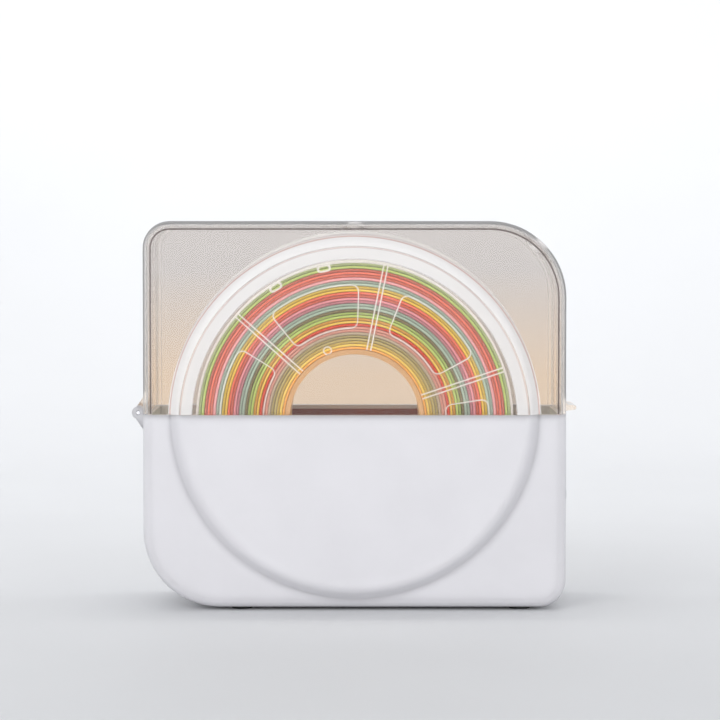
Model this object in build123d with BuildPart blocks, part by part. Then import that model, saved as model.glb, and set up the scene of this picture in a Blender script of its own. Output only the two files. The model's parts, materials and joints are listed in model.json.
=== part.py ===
"""Filament dryer box: a white base with a heated trough and four rollers, a clear hinged lid and a spool.

Millimetres. +X runs to the right along the broad side, +Y goes back through the box and +Z is up.
The origin is on the table under the middle of the box. The hinge is at the left end, the controls are
at the right end.
"""

from build123d import *
from math import cos, degrees, radians, sin
import os

os.makedirs("parts", exist_ok=True)

# ---------------------------------------------------------------- driving dimensions
BOX_WIDTH = 265.0  # end to end over the shells
BOX_HEIGHT = 242.0  # both shells, without the feet
BOX_DEPTH = 115.0  # over the two round bulges
BULGE = 6.0  # how far each broad side bulges
BULGE_RADIUS = 115.0
BULGE_FLANK = 5.0  # width of the sloping flank of a bulge
WALL = 2.5
SMALL_CORNER = 17.0  # top left of the lid and bottom right of the base
LARGE_CORNER = 48.0  # top right of the lid and bottom left of the base
EDGE_ROUND = 5.0  # rounding between the broad sides and the rim
STEP = 0.5  # how far the flat of each broad side stands above its rounded edge
FOOT_HEIGHT = 2.0
FOOT_RADIUS = 6.75
GAP = 0.3  # between pieces that move apart
FIT = 0.05  # radial clearance of a shaft that turns in its bore

SPOOL_RADIUS = 100.0
SPOOL_WIDTH = 66.0
FLANGE = 3.0
HUB_INNER = 41.0
HUB_OUTER = 44.0
WINDING_RADIUS = 98.7
STRAND = 1.75
RIB_COUNT = 6
RIB_START = 18.5  # degrees from +X to the first pair of ribs

ROLLER_RADIUS = 8.0
ROLLER_WIDTH = 12.0
ROLLER_ANGLE = 30.0  # each way from straight below the spool
AXLE_RADIUS = 3.0

TROUGH_INNER = 107.0
TROUGH_SHEET = 2.0
TRAY_WALL = 1.8
DECK_Z = 105.0
DECK = 2.0

FAN_SIZE = 60.0
FAN_DEPTH = 15.0
FAN_ANGLE = -38.0  # direction from the spool's centre to the fan
FAN_BORE = 28.5
FAN_HUB = 11.5
FAN_SCREW_PITCH = 50.0
BLADE_COUNT = 7

LEAD_RADIUS = 1.1
LEAD_BEND = 3.0

# ---------------------------------------------------------------- worked out from them
FLOOR_Z = FOOT_HEIGHT
PARTING_Z = FLOOR_Z + BOX_HEIGHT / 2
TOP_Z = FLOOR_Z + BOX_HEIGHT
HALF_WIDTH = BOX_WIDTH / 2
HALF_DEPTH = BOX_DEPTH / 2 - BULGE
INSIDE_FLOOR = FLOOR_Z + WALL
SPOOL_Z = PARTING_Z - 4.0
FLANGE_Y = SPOOL_WIDTH / 2 - FLANGE / 2  # middle of each flange
ROLLER_REACH = SPOOL_RADIUS + GAP + ROLLER_RADIUS
ROLLER_X = ROLLER_REACH * sin(radians(ROLLER_ANGLE))
ROLLER_Z = SPOOL_Z - ROLLER_REACH * cos(radians(ROLLER_ANGLE))

SPOOL_AXIS = Axis((0, 0, SPOOL_Z), (0, 1, 0))


def finish(piece, name):
    """Label a finished piece and write it out."""
    piece.part.label = name
    export_step(piece.part, f"parts/{name}.step")


# ---------------------------------------------------------------- shared outlines
def broad_outline(inset):
    """The outline of a broad side, drawn in all round by the inset."""
    half_width = HALF_WIDTH - inset
    bottom = FLOOR_Z + inset
    top = TOP_Z - inset
    large = LARGE_CORNER - inset
    small = SMALL_CORNER - inset
    with BuildSketch(Plane.XZ) as outline:
        with BuildLine():
            FilletPolyline(
                (-half_width, bottom),
                (half_width, bottom),
                (half_width, top),
                (-half_width, top),
                radius=[large, small, large, small],
                close=True,
            )
        make_face()
    return outline.sketch


def box_form(inset):
    """The closed outer form of lid and base together, drawn in all round by the inset."""
    half_depth = HALF_DEPTH - inset
    with BuildPart() as form:
        extrude(broad_outline(inset), amount=half_depth - STEP, both=True)
        fillet(form.faces().filter_by(Axis.Y).edges(), EDGE_ROUND - inset)
        # the flat of each broad side, raised by a small sloping step
        extrude(broad_outline(EDGE_ROUND + 0.1), amount=half_depth, both=True)
        flats = form.faces().filter_by(Axis.Y).group_by(Axis.Y)
        chamfer(flats[0].edges() + flats[-1].edges(), STEP - 0.01)
        with BuildSketch(Plane.XY.offset(PARTING_Z)) as bulge:
            with BuildLine():
                Polyline(
                    (0, 0),
                    (BULGE_RADIUS - inset, 0),
                    (BULGE_RADIUS - inset, half_depth),
                    (BULGE_RADIUS - BULGE_FLANK - inset, half_depth + BULGE),
                    (0, half_depth + BULGE),
                    close=True,
                )
            make_face()
            shoulder = bulge.vertices().group_by(Axis.Y)[-1].sort_by(Axis.X)[-1]
            fillet(shoulder, 5.0)
        revolve(axis=Axis((0, 0, PARTING_Z), (0, 1, 0)))
        mirror(about=Plane.XZ)
    return form.part


def ring_sector(inner, outer, start, sweep):
    """A sector of a ring about the spool's axis; angles in degrees from +X towards +Z."""
    with BuildSketch(Plane.XZ) as sector:
        with BuildLine():
            near = CenterArc((0, SPOOL_Z), inner, start, sweep)
            far = CenterArc((0, SPOOL_Z), outer, start, sweep)
            Line(near @ 0, far @ 0)
            Line(near @ 1, far @ 1)
        make_face()
    return sector.sketch


def radial_plane(angle, reach, centre=(0, SPOOL_Z)):
    """A plane square to the direction at that angle about a centre in XZ; its local x runs along +Y."""
    outward = Vector(cos(radians(angle)), 0, sin(radians(angle)))
    origin = Vector(centre[0], 0, centre[1]) + outward * reach
    return Plane(origin=origin, x_dir=(0, 1, 0), z_dir=outward)


# ---------------------------------------------------------------- hinge
PIN_RADIUS = 1.5
KNUCKLE_RADIUS = 4.0
PIN_X = -HALF_WIDTH - KNUCKLE_RADIUS - GAP
HINGE_LENGTH = 60.0
LID_KNUCKLE = 34.0
BASE_KNUCKLE = (HINGE_LENGTH - LID_KNUCKLE) / 2 - 0.4
KNUCKLE_ARM = 13.0  # height of the arm on the end wall


def knuckle_outline(upwards):
    """The barrel with its arm to the end wall, above the pin for the lid and below it for the base."""
    way = 1 if upwards else -1
    with BuildSketch(Plane.XZ) as knuckle:
        with Locations((PIN_X, PARTING_Z)):
            Circle(KNUCKLE_RADIUS)
        with BuildLine():
            Polyline(
                (PIN_X - KNUCKLE_RADIUS, PARTING_Z),
                (-HALF_WIDTH + 0.5, PARTING_Z + way * KNUCKLE_ARM),
                (-HALF_WIDTH + 0.5, PARTING_Z + way * 2 * GAP),
                (PIN_X, PARTING_Z + way * 2 * GAP),
                (PIN_X, PARTING_Z),
                close=True,
            )
        make_face()
    return knuckle.sketch


def pin_hole(radius):
    """A round hole along the hinge line."""
    with BuildSketch(Plane.XZ) as hole:
        with Locations((PIN_X, PARTING_Z)):
            Circle(radius)
    return hole.sketch


# ---------------------------------------------------------------- control panel and jack places
PANEL_Z = 82.0
PANEL_WIDTH = 60.0
PANEL_HEIGHT = 42.0
PANEL_THICKNESS = 1.2
WINDOW_Z = PANEL_Z + 7.0
WINDOW_WIDTH = 44.0
WINDOW_HEIGHT = 19.0
KEY_Z = PANEL_Z - 12.0
KEY_PITCH = 15.0
KEY_RADIUS = 4.0
KEY_NAMES = ("down_key", "mode_key", "up_key")
KEY_YS = (-KEY_PITCH, 0.0, KEY_PITCH)
BOARD_X = HALF_WIDTH - 8.5  # inner face of the display board
BOARD = 1.6
MAIN_BOARD_X = -HALF_WIDTH + 8.5
SOCKET_Z = 79.0
SOCKET_DEPTH = 5.0

JACK_Y = 30.0
JACK_Z = 66.0
JACK_NOSE = 5.0
JACK_BORE = 3.2
JACK_BODY = 11.0

FOOT_PLACES = {
    "front_left_foot": (-71.0, -36.0),
    "front_right_foot": (104.0, -36.0),
    "rear_left_foot": (-71.0, 36.0),
    "rear_right_foot": (104.0, 36.0),
}
FOOT_RECESS = 0.8

VENT_Z = 39.0
VENT_PITCH = 8.0
VENT_COUNT = 7
VENT_LENGTH = 30.0
VENT_WIDTH = 3.2

DECK_SCREW_PLACES = [(x, y) for x in (-119.0, 119.0) for y in (-40.0, 40.0)]

BRACKET_WIDTH = 22.0
BRACKET_LENGTH = 96.0
BRACKET_PLATE = 3.0
EAR = 3.0
EAR_Y = 42.5
BRACKET_SCREWS = [
    (way * ROLLER_X + across, y)
    for way in (-1, 1)
    for across in (-7.0, 7.0)
    for y in (-24.0, 24.0)
]
SCREW_RADIUS = 1.5
HEAD_RADIUS = 2.8
HEAD_HEIGHT = 1.8
SCREW_LENGTH = 12.0  # of the tray screws, below the deck
BOSS_RADIUS = 4.0
BOSS_HEIGHT = 22.0
BOSS_WEB = 2.4  # thickness of the web between a boss and the end wall


# ---------------------------------------------------------------- base
def make_base_shell():
    """White outer shell of the base with knuckles, vents, openings, screw bosses and foot recesses."""
    with BuildPart() as shell:
        add(box_form(0))
        add(box_form(WALL), mode=Mode.SUBTRACT)
        split(bisect_by=Plane.XY.offset(PARTING_Z), keep=Keep.BOTTOM)
        for side in (-1, 1):
            middle = side * (LID_KNUCKLE / 2 + 0.4 + BASE_KNUCKLE / 2)
            extrude(
                knuckle_outline(upwards=False).moved(Location((0, middle, 0))),
                amount=BASE_KNUCKLE / 2,
                both=True,
            )
        extrude(pin_hole(PIN_RADIUS), amount=HINGE_LENGTH, both=True, mode=Mode.SUBTRACT)
        # air inlet for the fan, low on the right end wall
        with BuildSketch(Plane.YZ.offset(HALF_WIDTH)):
            with Locations((0, VENT_Z)):
                with GridLocations(VENT_PITCH, 0, VENT_COUNT, 1):
                    SlotOverall(VENT_LENGTH, VENT_WIDTH, rotation=90)
        extrude(amount=-2 * WALL, mode=Mode.SUBTRACT)
        # display and key openings in the right end wall
        with BuildSketch(Plane.YZ.offset(HALF_WIDTH)):
            with Locations((0, WINDOW_Z)):
                Rectangle(WINDOW_WIDTH - 2, WINDOW_HEIGHT - 2)
            with Locations(*[(y, KEY_Z) for y in KEY_YS]):
                Circle(KEY_RADIUS + GAP)
        extrude(amount=-2 * WALL, mode=Mode.SUBTRACT)
        # power jack hole in the left end wall
        with BuildSketch(Plane.YZ.offset(-HALF_WIDTH)):
            with Locations((JACK_Y, JACK_Z)):
                Circle(JACK_NOSE + 0.1)
        extrude(amount=2 * WALL, mode=Mode.SUBTRACT)
        # bosses for the tray screws, each joined to the end wall by a web
        for x, y in DECK_SCREW_PLACES:
            wall_x = (HALF_WIDTH - WALL / 2) * (1 if x > 0 else -1)
            with BuildSketch(Plane.XY.offset(DECK_Z - BOSS_HEIGHT)):
                with Locations((x, y)):
                    Circle(BOSS_RADIUS)
                with Locations(((x + wall_x) / 2, y)):
                    Rectangle(abs(wall_x - x), BOSS_WEB)
            extrude(amount=BOSS_HEIGHT)
        with BuildSketch(Plane.XY.offset(FLOOR_Z)):
            with Locations(*FOOT_PLACES.values()):
                Circle(FOOT_RADIUS + 0.1)
        extrude(amount=FOOT_RECESS, mode=Mode.SUBTRACT)
        with BuildSketch(Plane.XY.offset(DECK_Z - SCREW_LENGTH - 4)):
            with Locations(*DECK_SCREW_PLACES):
                Circle(SCREW_RADIUS)
        extrude(amount=SCREW_LENGTH + 4, mode=Mode.SUBTRACT)
    finish(shell, "base_shell")


def make_feet():
    """Four rubber feet set into shallow recesses of the floor."""
    for name, (x, y) in FOOT_PLACES.items():
        with BuildPart() as foot:
            with BuildSketch(Plane.XY):
                with Locations((x, y)):
                    Circle(FOOT_RADIUS)
            extrude(amount=FOOT_HEIGHT + FOOT_RECESS)
            chamfer(foot.faces().sort_by(Axis.Z)[0].edges(), 0.5)
        finish(foot, name)


def make_inner_tray():
    """Dark moulded liner: a wall inside the rim, a deck at each end and the trough under the spool."""
    lip_z = PARTING_Z - 2.4
    outer_inset = WALL + 0.3
    fan_face = radial_plane(FAN_ANGLE, TROUGH_INNER - 4)
    with BuildPart() as tray:
        add(box_form(outer_inset))
        add(box_form(outer_inset + TRAY_WALL), mode=Mode.SUBTRACT)
        split(bisect_by=Plane.XY.offset(lip_z), keep=Keep.BOTTOM)
        split(bisect_by=Plane.XY.offset(DECK_Z), keep=Keep.TOP)
        # deck across the base, then the trough sheet below it
        with BuildSketch(Plane.XY.offset(DECK_Z)):
            Rectangle(BOX_WIDTH - 2 * (outer_inset + 1), 2 * (HALF_DEPTH - outer_inset - 1))
        extrude(amount=DECK)
        extrude(
            ring_sector(TROUGH_INNER, TROUGH_INNER + TROUGH_SHEET, -173, 166),
            amount=HALF_DEPTH - outer_inset - 1,
            both=True,
        )
        with BuildSketch(Plane.XZ):
            with Locations((0, SPOOL_Z)):
                Circle(TROUGH_INNER)
        extrude(amount=HALF_DEPTH - outer_inset - TRAY_WALL, both=True, mode=Mode.SUBTRACT)
        # end walls of the trough
        for side in (-1, 1):
            end_y = side * (HALF_DEPTH - outer_inset - TRAY_WALL / 2)
            wall = ring_sector(30, TROUGH_INNER + 1, -172, 164).moved(Location((0, end_y, 0)))
            extrude(wall, amount=TRAY_WALL / 2, both=True)
        # slots for the rollers
        for way in (-1, 1):
            middle = -90 + way * ROLLER_ANGLE
            slot = ring_sector(TROUGH_INNER - 3, TROUGH_INNER + 6, middle - 5.8, 11.6)
            extrude(slot, amount=EAR_Y + EAR, both=True, mode=Mode.SUBTRACT)
        # collar that the fan is screwed to, and the grille in front of it
        with BuildSketch(fan_face.offset(4 + TROUGH_SHEET / 2)):
            Circle(FAN_BORE + 2)
            Circle(FAN_BORE, mode=Mode.SUBTRACT)
        extrude(amount=5 - TROUGH_SHEET / 2)
        with BuildSketch(fan_face.offset(7.4)):
            RectangleRounded(FAN_SIZE, FAN_SIZE, 5)
            Circle(FAN_BORE, mode=Mode.SUBTRACT)
        extrude(amount=1.6)
        with BuildSketch(fan_face):
            Circle(FAN_BORE - 2.5)
            with GridLocations(0, 8, 1, 7):
                Rectangle(FAN_SIZE, 2.2, mode=Mode.SUBTRACT)
        extrude(amount=12, mode=Mode.SUBTRACT)
        with BuildSketch(Plane.XY.offset(DECK_Z)):
            with Locations(*DECK_SCREW_PLACES):
                Circle(SCREW_RADIUS + 0.2)
        extrude(amount=DECK, mode=Mode.SUBTRACT)
    finish(tray, "inner_tray")


def make_lid_seal():
    """Silicone strip on the top of the tray's wall."""
    with BuildPart() as seal:
        add(box_form(WALL + 0.35))
        add(box_form(WALL + 0.35 + TRAY_WALL - 0.1), mode=Mode.SUBTRACT)
        split(bisect_by=Plane.XY.offset(PARTING_Z - 0.3), keep=Keep.BOTTOM)
        split(bisect_by=Plane.XY.offset(PARTING_Z - 2.4), keep=Keep.TOP)
    finish(seal, "lid_seal")


def make_tray_screws():
    """Four screws that hold the tray's deck to the bosses."""
    with BuildPart() as screws:
        with BuildSketch(Plane.XY.offset(DECK_Z + DECK)):
            with Locations(*DECK_SCREW_PLACES):
                Circle(HEAD_RADIUS)
        extrude(amount=HEAD_HEIGHT)
        with BuildSketch(Plane.XY.offset(DECK_Z - SCREW_LENGTH)):
            with Locations(*DECK_SCREW_PLACES):
                Circle(SCREW_RADIUS - 0.02)
        extrude(amount=SCREW_LENGTH + DECK)
        with BuildSketch(Plane.XY.offset(DECK_Z + DECK + HEAD_HEIGHT)):
            with Locations(*DECK_SCREW_PLACES):
                Rectangle(3.2, 0.7)
                Rectangle(0.7, 3.2)
        extrude(amount=-1.0, mode=Mode.SUBTRACT)
    finish(screws, "tray_screws")


def make_heater():
    """Aluminium heat plate curved under the spool, with the heating film on its underside."""
    plate_inner = SPOOL_RADIUS + 4.2
    plate_outer = plate_inner + 1.2
    film_outer = plate_outer + 0.6
    half_length = 43.0
    spread = 23.0  # degrees each way from straight below the spool
    with BuildPart() as plate:
        sheet = ring_sector(plate_inner, plate_outer, -90 - spread, 2 * spread)
        extrude(sheet, amount=half_length, both=True)
        for angle in range(-18, 19, 9):
            with BuildSketch(radial_plane(-90 + angle, plate_inner - 2)):
                with GridLocations(20, 0, 4, 1):
                    SlotOverall(14, 3)
            extrude(amount=6, mode=Mode.SUBTRACT)
    finish(plate, "heat_plate")
    with BuildPart() as film:
        for angle in (-20.5, -13.5, -4.5, 4.5, 13.5, 20.5):
            track = ring_sector(plate_outer, film_outer, -90 + angle - 1.6, 3.2)
            extrude(track, amount=half_length - 3, both=True)
        for way in (-1, 1):
            link = ring_sector(plate_outer, film_outer, -90 - spread + 1, 2 * spread - 2)
            extrude(link.moved(Location((0, way * (half_length - 5), 0))), amount=2, both=True)
    finish(film, "heating_film")


def make_roller_bracket(way, name):
    """A floor plate with two ears that carry one axle."""
    x = way * ROLLER_X
    with BuildPart() as bracket:
        with BuildSketch(Plane.XY.offset(INSIDE_FLOOR)):
            with Locations((x, 0)):
                RectangleRounded(BRACKET_WIDTH, BRACKET_LENGTH - 4, 2)
        extrude(amount=BRACKET_PLATE)
        with BuildSketch(Plane.XZ) as ear:
            with Locations((x, ROLLER_Z)):
                Circle(5.5)
            with BuildLine():
                Polyline(
                    (x - 5.5, ROLLER_Z),
                    (x - 9, INSIDE_FLOOR + 1),
                    (x + 9, INSIDE_FLOOR + 1),
                    (x + 5.5, ROLLER_Z),
                    close=True,
                )
            make_face()
            with Locations((x, ROLLER_Z)):
                Circle(AXLE_RADIUS, mode=Mode.SUBTRACT)
        for side in (-1, 1):
            extrude(ear.sketch.moved(Location((0, side * EAR_Y, 0))), amount=EAR / 2, both=True)
        with BuildSketch(Plane.XY.offset(INSIDE_FLOOR)):
            with Locations(*[place for place in BRACKET_SCREWS if place[0] * way > 0]):
                Circle(SCREW_RADIUS)
        extrude(amount=BRACKET_PLATE, mode=Mode.SUBTRACT)
    finish(bracket, name)


def make_bracket_screws():
    """Eight screws through the bracket plates."""
    with BuildPart() as screws:
        with BuildSketch(Plane.XY.offset(INSIDE_FLOOR + BRACKET_PLATE)):
            with Locations(*BRACKET_SCREWS):
                Circle(HEAD_RADIUS)
        extrude(amount=HEAD_HEIGHT)
        with BuildSketch(Plane.XY.offset(INSIDE_FLOOR)):
            with Locations(*BRACKET_SCREWS):
                Circle(SCREW_RADIUS - 0.02)
        extrude(amount=BRACKET_PLATE)
    finish(screws, "bracket_screws")


def make_roller_axle(way, name):
    """Steel axle pressed into both ears."""
    with BuildPart() as axle:
        with BuildSketch(Plane.XZ):
            with Locations((way * ROLLER_X, ROLLER_Z)):
                Circle(AXLE_RADIUS)
        extrude(amount=EAR_Y + EAR / 2, both=True)
        chamfer(axle.edges().filter_by(GeomType.CIRCLE), 0.4)
    finish(axle, name)


def make_roller(way, side, name):
    """A plastic roller with a raised hub on each face, turning on the axle under one flange."""
    with BuildPart() as roller:
        with BuildSketch(Plane.XY.offset(ROLLER_Z)):
            with BuildLine():
                x = way * ROLLER_X
                middle = side * FLANGE_Y
                bore = AXLE_RADIUS + FIT
                half = ROLLER_WIDTH / 2
                Polyline(
                    (x + bore, middle - half),
                    (x + bore + 1.5, middle - half),
                    (x + bore + 1.5, middle - half + 0.8),
                    (x + ROLLER_RADIUS - 1.2, middle - half + 0.8),
                    (x + ROLLER_RADIUS, middle - half + 2),
                    (x + ROLLER_RADIUS, middle + half - 2),
                    (x + ROLLER_RADIUS - 1.2, middle + half - 0.8),
                    (x + bore + 1.5, middle + half - 0.8),
                    (x + bore + 1.5, middle + half),
                    (x + bore, middle + half),
                    close=True,
                )
            make_face()
        revolve(axis=Axis((x, 0, ROLLER_Z), (0, 1, 0)))
    finish(roller, name)


def make_roller_clips():
    """A retaining ring on the axle at each side of every roller."""
    with BuildPart() as clips:
        for way in (-1, 1):
            for side in (-1, 1):
                for face in (-1, 1):
                    near = side * FLANGE_Y + face * (ROLLER_WIDTH / 2 + GAP)
                    with BuildSketch(Plane.XZ.offset(-near)):
                        with Locations((way * ROLLER_X, ROLLER_Z)):
                            Circle(AXLE_RADIUS + 1.6)
                            Circle(AXLE_RADIUS, mode=Mode.SUBTRACT)
                    extrude(amount=-face * 1.0)
    finish(clips, "roller_clips")


def make_hinge_pin():
    """Steel pin held by the base's knuckles."""
    with BuildPart() as pin:
        extrude(pin_hole(PIN_RADIUS), amount=HINGE_LENGTH / 2, both=True)
        chamfer(pin.edges().filter_by(GeomType.CIRCLE), 0.3)
    finish(pin, "hinge_pin")


def make_humidity_sensor():
    """Small vented sensor housing on the left deck."""
    with BuildPart() as sensor:
        with BuildSketch(Plane.XY.offset(DECK_Z + DECK)):
            with Locations((-118, 0)):
                RectangleRounded(12, 20, 2)
        extrude(amount=7)
        fillet(sensor.faces().sort_by(Axis.Z)[-1].edges(), 1)
        with BuildSketch(Plane.XY.offset(DECK_Z + DECK + 7)):
            with Locations((-118, 0)):
                with GridLocations(0, 3, 1, 5):
                    SlotOverall(7, 1.4)
        extrude(amount=-3, mode=Mode.SUBTRACT)
    finish(sensor, "humidity_sensor")


# ---------------------------------------------------------------- fan
FAN_PLANE = radial_plane(FAN_ANGLE, TROUGH_INNER + 5.2)
SHAFT_RADIUS = 1.5


def make_fan_frame():
    """Square fan frame with four struts, the motor seat and the bearing tube."""
    with BuildPart() as frame:
        with BuildSketch(FAN_PLANE):
            RectangleRounded(FAN_SIZE, FAN_SIZE, 5)
            Circle(FAN_BORE, mode=Mode.SUBTRACT)
            with GridLocations(FAN_SCREW_PITCH, FAN_SCREW_PITCH, 2, 2):
                Circle(SCREW_RADIUS + 0.3, mode=Mode.SUBTRACT)
        extrude(amount=FAN_DEPTH)
        with BuildSketch(FAN_PLANE.offset(FAN_DEPTH - 2)):
            Circle(FAN_HUB + 0.5)
            with PolarLocations((FAN_HUB + FAN_BORE) / 2, 4, start_angle=45):
                Rectangle(FAN_BORE - FAN_HUB + 2, 2.4)
            Circle(SHAFT_RADIUS + FIT, mode=Mode.SUBTRACT)
        extrude(amount=2)
        with BuildSketch(FAN_PLANE.offset(6)):
            Circle(4)
            Circle(SHAFT_RADIUS + FIT, mode=Mode.SUBTRACT)
        extrude(amount=FAN_DEPTH - 8)
    finish(frame, "fan_frame")


def make_fan_rotor():
    """Hub cup with its shaft and seven pitched, curved blades."""
    blade_reach = FAN_BORE - 0.8
    with BuildPart() as rotor:
        with BuildSketch(FAN_PLANE.offset(1.2)):
            Circle(FAN_HUB)
        extrude(amount=FAN_DEPTH - 4.2)
        with BuildSketch(FAN_PLANE.offset(2.6)):
            Circle(FAN_HUB - 1.2)
        extrude(amount=FAN_DEPTH, mode=Mode.SUBTRACT)
        for index in range(BLADE_COUNT):
            turn = index * 360 / BLADE_COUNT
            outward = FAN_PLANE.x_dir.rotate(Axis((0, 0, 0), FAN_PLANE.z_dir), turn)
            root = Plane(
                origin=FAN_PLANE.origin + FAN_PLANE.z_dir * 6.8 + outward * (FAN_HUB - 0.9),
                x_dir=FAN_PLANE.z_dir.cross(outward),
                z_dir=outward,
            )
            with BuildSketch(root):
                with BuildLine():
                    hollow = ThreePointArc((-5.4, -4.4), (0.9, -0.9), (5.4, 4.4))
                    crown = ThreePointArc((-5.4, -3.4), (-0.3, 0.6), (5.0, 4.4))
                    Line(hollow @ 0, crown @ 0)
                    Line(hollow @ 1, crown @ 1)
                make_face()
            extrude(amount=blade_reach - FAN_HUB + 3)
        with BuildSketch(FAN_PLANE):
            Circle(blade_reach)
        extrude(amount=FAN_DEPTH, mode=Mode.INTERSECT)
        with BuildSketch(FAN_PLANE.offset(2)):
            Circle(SHAFT_RADIUS)
        extrude(amount=FAN_DEPTH - 2.6)
    finish(rotor, "fan_rotor")


def make_fan_screws():
    """Four screws through the fan's corners."""
    with BuildPart() as screws:
        with BuildSketch(FAN_PLANE.offset(FAN_DEPTH)):
            with GridLocations(FAN_SCREW_PITCH, FAN_SCREW_PITCH, 2, 2):
                Circle(HEAD_RADIUS)
        extrude(amount=HEAD_HEIGHT)
        with BuildSketch(FAN_PLANE.offset(0.2)):
            with GridLocations(FAN_SCREW_PITCH, FAN_SCREW_PITCH, 2, 2):
                Circle(SCREW_RADIUS)
        extrude(amount=FAN_DEPTH - 0.2)
    finish(screws, "fan_screws")


# ---------------------------------------------------------------- electronics
def make_control_board():
    """Circuit board that stands in the left compartment, with its parts."""
    with BuildPart() as board:
        with BuildSketch(Plane.YZ.offset(MAIN_BOARD_X)):
            with Locations((0, 88)):
                RectangleRounded(72, 28, 2)
        extrude(amount=BOARD)
        face = Plane.YZ.offset(MAIN_BOARD_X + BOARD)
        with BuildSketch(face):
            with Locations((-24, 92)):
                Rectangle(15, 12)
        extrude(amount=7)
        with BuildSketch(face):
            with Locations((0, 90)):
                Rectangle(10, 10)
        extrude(amount=1.4)
        with BuildSketch(face):
            with Locations((18, 93), (28, 93)):
                Circle(4)
        extrude(amount=7.5)
        with BuildSketch(face):
            with Locations((-10, SOCKET_Z), (12, SOCKET_Z)):
                Rectangle(16, 6)
        extrude(amount=SOCKET_DEPTH)
    finish(board, "control_board")


def make_power_jack():
    """Round DC inlet in the left end wall, with its centre pin."""
    with BuildPart() as jack:
        with BuildSketch(Plane.YZ.offset(-HALF_WIDTH + WALL)):
            with Locations((JACK_Y, JACK_Z)):
                Rectangle(12, 9.6)
        extrude(amount=JACK_BODY)
        with BuildSketch(Plane.YZ.offset(-HALF_WIDTH - 0.6)):
            with Locations((JACK_Y, JACK_Z)):
                Circle(JACK_NOSE)
        extrude(amount=WALL + 1)
        with BuildSketch(Plane.YZ.offset(-HALF_WIDTH - 0.6)):
            with Locations((JACK_Y, JACK_Z)):
                Circle(JACK_BORE)
        extrude(amount=10, mode=Mode.SUBTRACT)
        with BuildSketch(Plane.YZ.offset(-HALF_WIDTH + 0.6)):
            with Locations((JACK_Y, JACK_Z)):
                Circle(1.05)
        extrude(amount=10)
    finish(jack, "power_jack")


def make_control_panel():
    """Dark panel on the right end wall with the display opening and key holes."""
    with BuildPart() as panel:
        with BuildSketch(Plane.YZ.offset(HALF_WIDTH)):
            with Locations((0, PANEL_Z)):
                RectangleRounded(PANEL_WIDTH, PANEL_HEIGHT, 6)
            with Locations((0, WINDOW_Z)):
                Rectangle(WINDOW_WIDTH, WINDOW_HEIGHT, mode=Mode.SUBTRACT)
            with Locations(*[(y, KEY_Z) for y in KEY_YS]):
                Circle(KEY_RADIUS + GAP, mode=Mode.SUBTRACT)
        extrude(amount=PANEL_THICKNESS)
        fillet(panel.faces().sort_by(Axis.X)[-1].outer_wire().edges(), 0.6)
    finish(panel, "control_panel")
    with BuildPart() as window:
        with BuildSketch(Plane.YZ.offset(HALF_WIDTH)):
            with Locations((0, WINDOW_Z)):
                Rectangle(WINDOW_WIDTH - 0.2, WINDOW_HEIGHT - 0.2)
        extrude(amount=PANEL_THICKNESS - 0.2)
    finish(window, "display_window")
    with BuildPart() as lcd:
        with BuildSketch(Plane.YZ.offset(BOARD_X + BOARD)):
            with Locations((0, WINDOW_Z)):
                Rectangle(WINDOW_WIDTH + 2, WINDOW_HEIGHT + 2)
        extrude(amount=HALF_WIDTH - WALL - 0.2 - BOARD_X - BOARD)
    finish(lcd, "lcd_module")
    with BuildPart() as board:
        with BuildSketch(Plane.YZ.offset(BOARD_X)):
            with Locations((0, PANEL_Z)):
                RectangleRounded(PANEL_WIDTH - 4, PANEL_HEIGHT - 2, 2)
        extrude(amount=BOARD)
        with BuildSketch(Plane.YZ.offset(BOARD_X + BOARD)):
            with Locations(*[(y, KEY_Z) for y in KEY_YS]):
                Rectangle(6, 6)
        extrude(amount=1.4)
    finish(board, "display_board")


def make_keys():
    """Three round push keys, kept in by a collar behind the wall."""
    collar_x = HALF_WIDTH - WALL - 2 * GAP
    for name, y in zip(KEY_NAMES, KEY_YS):
        with BuildPart() as key:
            with BuildSketch(Plane.YZ.offset(collar_x - 1.2)):
                with Locations((y, KEY_Z)):
                    Circle(KEY_RADIUS + 1)
            extrude(amount=1.2)
            with BuildSketch(Plane.YZ.offset(collar_x)):
                with Locations((y, KEY_Z)):
                    Circle(KEY_RADIUS)
            extrude(amount=HALF_WIDTH + PANEL_THICKNESS + 1 - collar_x)
            fillet(key.faces().sort_by(Axis.X)[-1].edges(), 0.7)
        finish(key, name)


def make_lead(points, name):
    """A round cable through the base along straight runs with rounded bends."""
    with BuildPart() as lead:
        with BuildLine() as route:
            FilletPolyline(*points, radius=LEAD_BEND)
        with BuildSketch(Plane(origin=route.line @ 0, z_dir=route.line % 0)):
            Circle(LEAD_RADIUS)
        sweep()
    finish(lead, name)


def make_leads():
    """The lead from the jack to the board, and the one under the trough to the fan."""
    socket_x = MAIN_BOARD_X + BOARD + SOCKET_DEPTH
    free_x = socket_x + 6
    power_route = [
        (-HALF_WIDTH + WALL + JACK_BODY, JACK_Y, JACK_Z),
        (free_x, JACK_Y, JACK_Z),
        (free_x, 14, SOCKET_Z),
        (socket_x, 14, SOCKET_Z),
    ]
    make_lead(power_route, "power_lead")
    fan_back = FAN_PLANE.offset(FAN_DEPTH)
    fan_route = [
        (socket_x, -10, SOCKET_Z),
        (free_x, -10, SOCKET_Z),
        (free_x + 1, -10, 50),
        (-88, -10, 19),
        (-40, -10, 9.2),
        (0, -10, 7.3),
        (40, -10, 9.2),
        (85, -8, 11),
        fan_back.from_local_coords((-4, 0, 9)),
        fan_back.from_local_coords((-4, 0, 0.01)),
    ]
    make_lead(fan_route, "fan_lead")


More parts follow.
